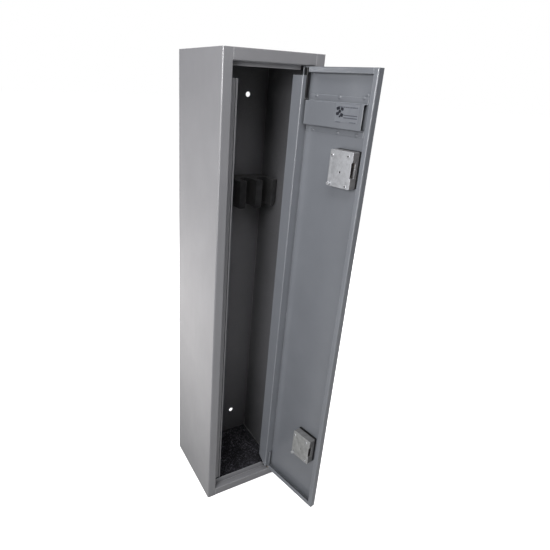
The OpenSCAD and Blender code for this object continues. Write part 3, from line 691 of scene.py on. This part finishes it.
# spot welds that hold the back sheet, dressed nearly flush and painted over
bm = bmesh.new()
zs = [30 + 77.5 * i for i in range(17)]
spots = [(x, z) for x in (9.0, 261.0) for z in zs] + [(9 + 42 * i, z) for i in range(1, 6) for z in (12.0, 1288.0)]
for k, (x, z) in enumerate(spots):
    jx, jz = 0.9 * noise.noise(Vector((k * 1.7, 2.0, 0.3))), 2.6 * noise.noise(Vector((k * 1.3, 7.0, 0.6)))
    blob(bm, cab(x + jx, 249.95, z + jz), Vector((0.001, 0, 0)), Vector((0, 0, 0.001)), Vector((0, 0.001, 0)), 3.1, 2.9, 0.40, seed=k * 2.3)
new_object("back_spot_welds", bm, M["paint_in"], "cabinet", smooth_angle=60)


# ---------------------------------------------------------------- label print
def flat_shape(bm, pts, y, thick=0.12):
    lo = [bm.verts.new(door(x, y, z)) for x, z in pts]
    hi = [bm.verts.new(door(x, y + thick, z)) for x, z in pts]
    n = len(pts)
    bm.faces.new(lo)
    bm.faces.new(hi[::-1])
    for i in range(n):
        bm.faces.new((lo[i], hi[i], hi[(i + 1) % n], lo[(i + 1) % n]))


def rect(x0, x1, z0, z1):
    return [(x0, z0), (x1, z0), (x1, z1), (x0, z1)]


LY = 17.3
bm = bmesh.new()
# abstract mark: a staggered block of four leaning bars (seen from inside, +x is to the left)
for x_, z_, w, h, a in [(121.0, 1188.2, 9.6, 6.6, -0.35), (109.8, 1187.2, 8.2, 6.4, 0.30), (115.8, 1182.0, 7.0, 6.4, 0.45),
                        (121.2, 1177.0, 8.8, 6.8, -0.25), (109.6, 1174.6, 8.4, 7.4, 0.25), (114.6, 1171.2, 4.6, 4.2, 0.1)]:
    pts = []
    for i in range(16):
        t = 2 * math.pi * i / 16
        c, q = math.cos(t), math.sin(t)
        px = w / 2 * math.copysign(abs(c) ** 0.45, c)
        pz = h / 2 * math.copysign(abs(q) ** 0.45, q)
        pts.append((x_ + px * math.cos(a) - pz * math.sin(a), z_ + px * math.sin(a) + pz * math.cos(a)))
    flat_shape(bm, pts, LY)
bmesh.ops.recalc_face_normals(bm, faces=bm.faces)
new_object("label_mark", bm, M["ink"], "door", smooth_angle=None)
bm = bmesh.new()
for z0_, z1_, xa, xb in [(1173.6, 1175.8, 67, 104), (1168.2, 1170.6, 67, 104)]:
    flat_shape(bm, rect(xa, xb, z0_, z1_), LY)
# rows of short dashes stand in for the small print
step = 0
for z_, h, xa, xb in [(1190.2, 2.6, 68, 122), (1158.4, 1.8, 112, 124), (1159.6, 2.0, 69, 86)]:
    x_ = xa
    while x_ < xb - 2:
        w = 2.2 + 2.6 * abs(math.sin(step * 2.3 + 0.4))
        flat_shape(bm, rect(x_, min(x_ + w, xb), z_, z_ + h), LY)
        x_ += w + 1.1
        step += 1
bmesh.ops.recalc_face_normals(bm, faces=bm.faces)
new_object("label_rules", bm, M["ink_grey"], "door", smooth_angle=None)


# ---------------------------------------------------------------- camera
cam_data = bpy.data.cameras.new("camera")
cam = bpy.data.objects.new("camera", cam_data)
scene.collection.objects.link(cam)
scene.camera = cam
yaw, pitch, roll = 0.503276, -0.406311, 0.051645
f = Vector((math.sin(yaw) * math.cos(pitch), math.cos(yaw) * math.cos(pitch), math.sin(pitch)))
r = Vector((math.cos(yaw), -math.sin(yaw), 0))
u = r.cross(f)
r2 = r * math.cos(roll) + u * math.sin(roll)
u2 = -r * math.sin(roll) + u * math.cos(roll)
rot = Matrix((r2, u2, -f)).transposed()
cam.matrix_world = Matrix.Translation(cab(-465.630, -948.573, 1236.562)) @ rot.to_4x4()
cam_data.sensor_fit = "HORIZONTAL"
cam_data.sensor_width = 36.0
cam_data.lens = 454.175 / 550 * 36
cam_data.shift_x = 40 / 550
cam_data.clip_start = 0.05
cam_data.clip_end = 100
cam_data.dof.use_dof = False

# ---------------------------------------------------------------- studio
floor_mat = Mat("studio_floor")
tone = floor_mat.ramp(floor_mat.noise(3, 3, 0.5), [(0.3, (0.88, 0.88, 0.88)), (0.7, (0.91, 0.91, 0.91))])
floor_mat.l(tone, floor_mat.p.inputs["Base Color"])
floor_mat.p.inputs["Roughness"].default_value = 0.9
floor_mat.p.inputs["Specular IOR Level"].default_value = 0.1
floor_mat.p.inputs["Emission Color"].default_value = (1, 1, 1, 1)
floor_mat.p.inputs["Emission Strength"].default_value = 1.0
# painted shadow: the floor's glow turns grey close to the object, a soft contact shadow
painted_contact_shadow = floor_mat.crevice(0.10, 0.30, 1.0)
floor_mat.l(floor_mat.ramp(painted_contact_shadow, [(0.0, (0.55, 0.55, 0.56)), (0.6, (0.93, 0.93, 0.93)), (1.0, (1, 1, 1))]), floor_mat.p.inputs["Emission Color"])
# what the object receives from the floor: a darker sweep with a little glow
sweep = floor_mat.n("ShaderNodeBsdfDiffuse")
sweep.inputs[0].default_value = (0.30, 0.30, 0.30, 1)
glow = floor_mat.n("ShaderNodeEmission")
glow.inputs[1].default_value = 0.108
both = floor_mat.n("ShaderNodeAddShader")
floor_mat.l(sweep.outputs[0], both.inputs[0])
floor_mat.l(glow.outputs[0], both.inputs[1])
pick = floor_mat.n("ShaderNodeMixShader")
floor_mat.l(floor_mat.n("ShaderNodeLightPath").outputs["Is Camera Ray"], pick.inputs[0])
floor_mat.l(both.outputs[0], pick.inputs[1])
floor_mat.l(floor_mat.p.outputs[0], pick.inputs[2])
floor_mat.l(pick.outputs[0], floor_mat.out.inputs[0])
bm = bmesh.new()
bmesh.ops.create_grid(bm, x_segments=8, y_segments=8, size=30)
me = bpy.data.meshes.new("studio_floor")
bm.to_mesh(me)
bm.free()
floor = bpy.data.objects.new("studio_floor", me)
floor.location.z = -0.0005
me.materials.append(floor_mat.m)
scene.collection.objects.link(floor)

world = bpy.data.worlds.new("studio")
scene.world = world
world.use_nodes = True
wt = world.node_tree
wt.nodes.clear()
wo = wt.nodes.new("ShaderNodeOutputWorld")
mixw = wt.nodes.new("ShaderNodeMixShader")
lp = wt.nodes.new("ShaderNodeLightPath")
amb = wt.nodes.new("ShaderNodeBackground")
amb.inputs[0].default_value = (0.96, 0.98, 1.0, 1)
amb.inputs[1].default_value = 0.01
see = wt.nodes.new("ShaderNodeBackground")
see.inputs[0].default_value = (1, 1, 1, 1)
see.inputs[1].default_value = 1.0
wt.links.new(lp.outputs["Is Camera Ray"], mixw.inputs[0])
wt.links.new(amb.outputs[0], mixw.inputs[1])
wt.links.new(see.outputs[0], mixw.inputs[2])
wt.links.new(mixw.outputs[0], wo.inputs[0])


def area(name, loc, aim, sx, sy, power, colour=(1, 1, 1), spread=180):
    ld = bpy.data.lights.new(name, "AREA")
    ld.shape = "RECTANGLE"
    ld.size, ld.size_y = sx, sy
    ld.energy = power
    ld.color = colour
    ld.spread = math.radians(spread)
    lo = bpy.data.objects.new(name, ld)
    scene.collection.objects.link(lo)
    lo.location = loc
    lo.rotation_euler = (Vector(aim) - Vector(loc)).to_track_quat("-Z", "Y").to_euler()
    lo.visible_camera = False
    return lo


area("key_front_left", (-1.78, -1.20, 1.5), (-0.1, -0.1, 0.9), 0.7, 0.7, 33.0)
for lamp in (area("side_upper", (-1.2, 0.8, 1.15), (-0.135, 0.0, 1.05), 0.5, 0.5, 6.2, spread=120),
             area("side_middle", (-0.8, 0.6, 0.50), (-0.135, 0.0, 0.62), 0.2, 0.2, 2.65, colour=(1.0, 0.965, 0.90), spread=80)):
    lamp.visible_glossy = False
area("camera_top", (-0.9, -1.3, 2.6), (0.1, -0.2, 1.2), 0.9, 0.9, 14.0)
area("front_top", (-0.35, -2.3, 2.4), (0.0, 0.0, 0.9), 0.7, 0.7, 4.8)
area("front_right", (1.3, -2.2, 2.0), (0.0, -0.1, 0.9), 1.0, 1.2, 2.6)
# a tall strip that only shows as the thin highlight down the upright folds
strip = area("fold_strip", (-2.1, -1.75, 0.50), (0.05, -0.15, 0.50), 0.35, 1.6, 22)
strip.visible_diffuse = False
area("overhead", (0.0, -0.5, 2.8), (0.0, -0.1, 1.0), 1.4, 1.4, 7.5)
# never reach what the camera sees; they light the back and the hinge side for the other views
for lamp in (area("back_fill", (1.3, 2.1, 1.4), (0.0, 0.0, 0.7), 1.3, 1.6, 23),
             area("hinge_side_fill", (2.3, 0.35, 1.2), (0.0, 0.0, 0.7), 1.2, 1.6, 40)):
    lamp.visible_glossy = False

scene.view_settings.view_transform = "Standard"
scene.view_settings.look = "None"
scene.view_settings.exposure = 0.0
scene.view_settings.gamma = 1.0
